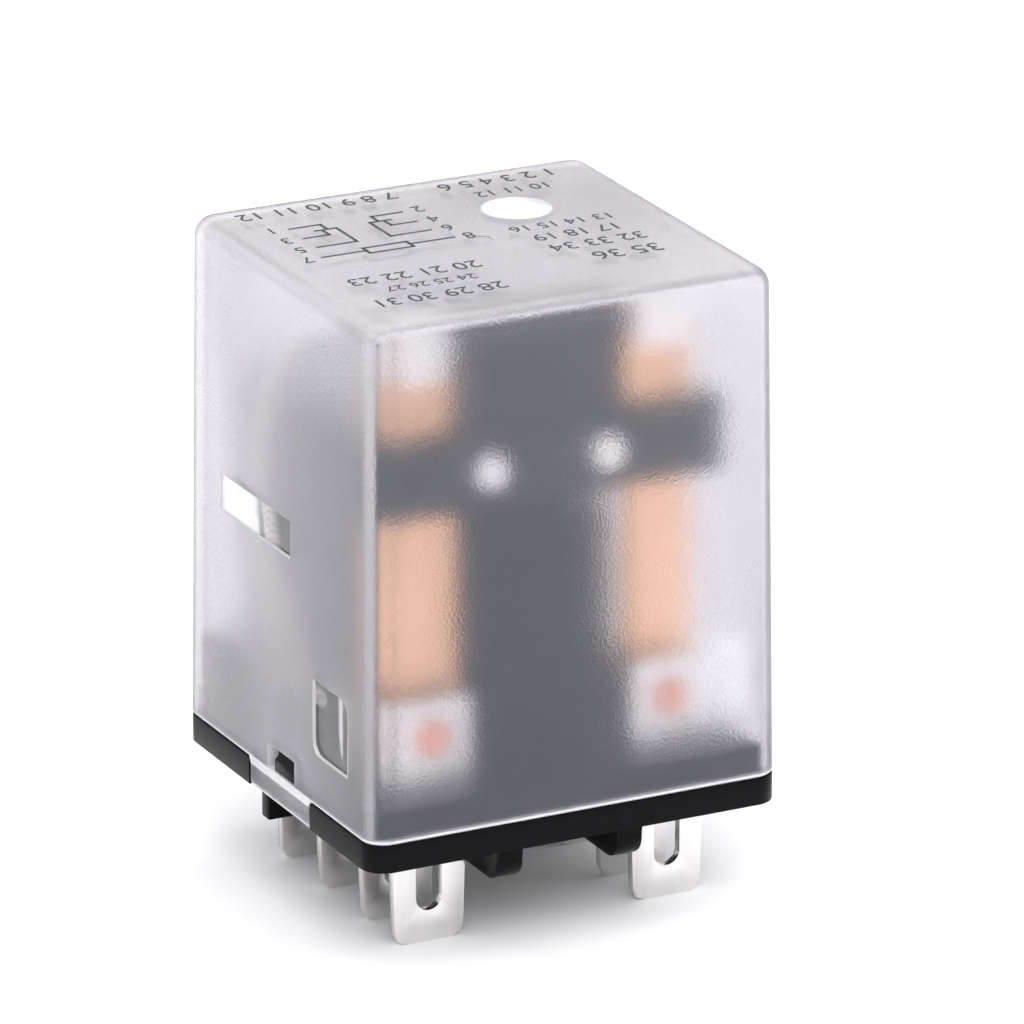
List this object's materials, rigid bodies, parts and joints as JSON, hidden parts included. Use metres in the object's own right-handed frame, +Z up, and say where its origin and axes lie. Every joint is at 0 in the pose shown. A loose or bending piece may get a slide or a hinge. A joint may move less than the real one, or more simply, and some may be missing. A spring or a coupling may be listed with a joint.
{
  "type": "plug-in control relay",
  "caption": "Plug-in control relay with a frosted clip-on case, flat push-on terminals, a vertical coil and a hinged armature that carries the changeover springs.",
  "frame": {"origin": "on the vertical through the middle of the case's plan, level with the tips of the terminal tabs", "axes": "+Z up through the case, from the tabs to the cover's top; -Y towards the contact side; +X to the right seen from the contact side"},
  "size_m": [0.038, 0.0364, 0.0558],
  "materials": {
    "polycarbonate": "fine frosted",
    "base_plastic": "satin moulded",
    "soft_iron": "zinc plated",
    "tinned_brass": "bright tin plate",
    "silver_alloy": "satin",
    "spring_copper": "bright rolled copper",
    "carrier_plastic": "satin moulded",
    "dark_iron": "blackened",
    "bobbin_nylon": "moulded",
    "enamelled_copper": "enamelled wire",
    "coil_tape": "polyester tape",
    "spring_steel": "drawn wire",
    "lead_sleeve": "woven white sleeve"
  },
  "bodies": {
    "base": {"cover": "polycarbonate", "base": "base_plastic", "core_screw": "soft_iron", "nc_terminal_left": "tinned_brass", "nc_terminal_right": "tinned_brass", "no_terminal_left": "tinned_brass", "no_terminal_right": "tinned_brass", "com_terminal_left": "tinned_brass", "com_terminal_right": "tinned_brass", "coil_terminal_left": "tinned_brass", "coil_terminal_right": "tinned_brass", "nc_contact_left": "silver_alloy", "nc_contact_right": "silver_alloy", "no_contact_left": "silver_alloy", "no_contact_right": "silver_alloy", "yoke": "dark_iron", "core": "soft_iron", "shading_ring": "spring_copper", "bobbin": "bobbin_nylon", "coil_winding": "enamelled_copper", "coil_tape": "coil_tape", "return_spring": "spring_steel", "flexible_lead_left": "lead_sleeve", "flexible_lead_right": "lead_sleeve", "coil_lead_left": "enamelled_copper", "coil_lead_right": "enamelled_copper"},
    "armature": {"moving_spring_left": "spring_copper", "moving_spring_right": "spring_copper", "moving_contact_left": "silver_alloy", "moving_contact_right": "silver_alloy", "lead_tag_left": "tinned_brass", "lead_tag_right": "tinned_brass", "carrier": "carrier_plastic", "carrier_rivets": "soft_iron", "armature": "soft_iron"}
  },
  "joints": [
    {"name": "armature_hinge", "type": "hinge", "parent": "base", "child": "armature", "pos_m": [0, 0.0148, 0.04234], "axis": [1, 0, 0], "range_deg": [0, 4], "stiffness_Nm_per_rad": 0.03, "springref_deg": -20.05, "deforming": ["return_spring", "flexible_lead_left", "flexible_lead_right"]}
  ]
}
